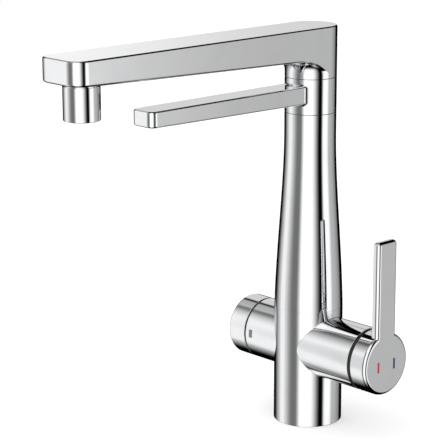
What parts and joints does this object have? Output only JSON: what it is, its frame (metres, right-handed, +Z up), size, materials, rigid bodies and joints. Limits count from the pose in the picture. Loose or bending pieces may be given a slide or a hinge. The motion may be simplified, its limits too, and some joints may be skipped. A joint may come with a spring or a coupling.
{
  "type": "three way filtered water tap",
  "caption": "Kitchen tap with a long flat swivel spout for mixed water, a thin swivel spout for filtered water below it, a side mixer lever and a side filter knob.",
  "frame": {"origin": "centre of the foot's bottom face, on the worktop", "axes": "+Z up the column; both spouts point along -Y at rest; the mixer lever is on +X and the filter knob on -X"},
  "size_m": [0.1433, 0.2625, 0.303],
  "materials": {
    "chrome": "polished chrome plate",
    "brass": "machined brass",
    "steel": "turned stainless steel",
    "rubber": "black sealing rubber",
    "black_plastic": "black acetal",
    "white_plastic": "pale engineering plastic",
    "ceramic": "lapped alumina ceramic",
    "red": "red enamel",
    "blue": "blue enamel",
    "grey": "grey enamel"
  },
  "bodies": {
    "tap_body": {"base_body": "chrome", "filter_mark": "grey", "foot_gasket": "rubber", "column_shell": "chrome", "mixed_riser": "brass", "filter_riser": "brass", "swivel_core": "brass", "collar_stop_pin": "steel", "collar_seal_low": "rubber", "collar_seal_high": "rubber", "spout_seal_low": "rubber", "spout_seal_high": "rubber", "collar_washer_low": "black_plastic", "cartridge_seal": "rubber", "cartridge_body": "white_plastic", "cartridge_cover": "white_plastic", "cartridge_nut": "brass", "fixed_disc": "ceramic", "trim_dome": "black_plastic", "filter_seal": "rubber", "filter_headwork": "brass", "filter_fixed_disc": "ceramic", "knob_guide_ring": "black_plastic"},
    "main_swivel": {"main_spout": "chrome", "spout_bush": "white_plastic", "spout_screw": "steel", "collar_washer_high": "black_plastic", "aerator_housing": "chrome", "aerator_washer": "chrome", "aerator_insert": "black_plastic", "aerator_seal": "rubber"},
    "filter_swivel": {"filter_collar": "chrome", "filter_spout": "chrome", "filter_outlet": "black_plastic"},
    "mixer_turret": {"turret": "white_plastic", "turret_pin": "steel"},
    "mixer_handle": {"stem": "brass", "handle_cap": "chrome", "lever": "chrome", "hot_mark": "red", "cold_mark": "blue", "handle_screw": "steel", "handle_plug": "black_plastic"},
    "mixer_disc": {"moving_disc": "ceramic"},
    "filter_handle": {"filter_knob": "chrome", "filter_spindle": "brass", "filter_moving_disc": "ceramic", "spindle_seal": "rubber", "knob_screw": "steel"}
  },
  "joints": [
    {"name": "main_spout_swivel", "type": "hinge", "parent": "tap_body", "child": "main_swivel", "pos_m": [0, 0, 0.277], "axis": [0, 0, 1], "range_deg": [-70, 70]},
    {"name": "filter_spout_swivel", "type": "hinge", "parent": "tap_body", "child": "filter_swivel", "pos_m": [0, 0, 0.252], "axis": [0, 0, 1], "range_deg": [-70, 70]},
    {"name": "mixer_temperature", "type": "hinge", "parent": "tap_body", "child": "mixer_turret", "pos_m": [0.045, 0, 0.061], "axis": [1, 0, 0], "range_deg": [-45, 45]},
    {"name": "mixer_flow", "type": "hinge", "parent": "mixer_turret", "child": "mixer_handle", "pos_m": [0.045, 0, 0.061], "axis": [0, 1, 0], "range_deg": [0, 25]},
    {"name": "mixer_disc_slide", "type": "slide", "parent": "mixer_turret", "child": "mixer_disc", "axis": [0, 0, 1], "range_m": [0, 0.00657]},
    {"name": "filter_turn", "type": "hinge", "parent": "tap_body", "child": "filter_handle", "pos_m": [-0.05, 0, 0.061], "axis": [-1, 0, 0], "range_deg": [0, 90]}
  ],
  "couplings": [
    {"joint": "mixer_disc_slide", "follows": "mixer_flow", "m_per_rad": 0.015013}
  ]
}
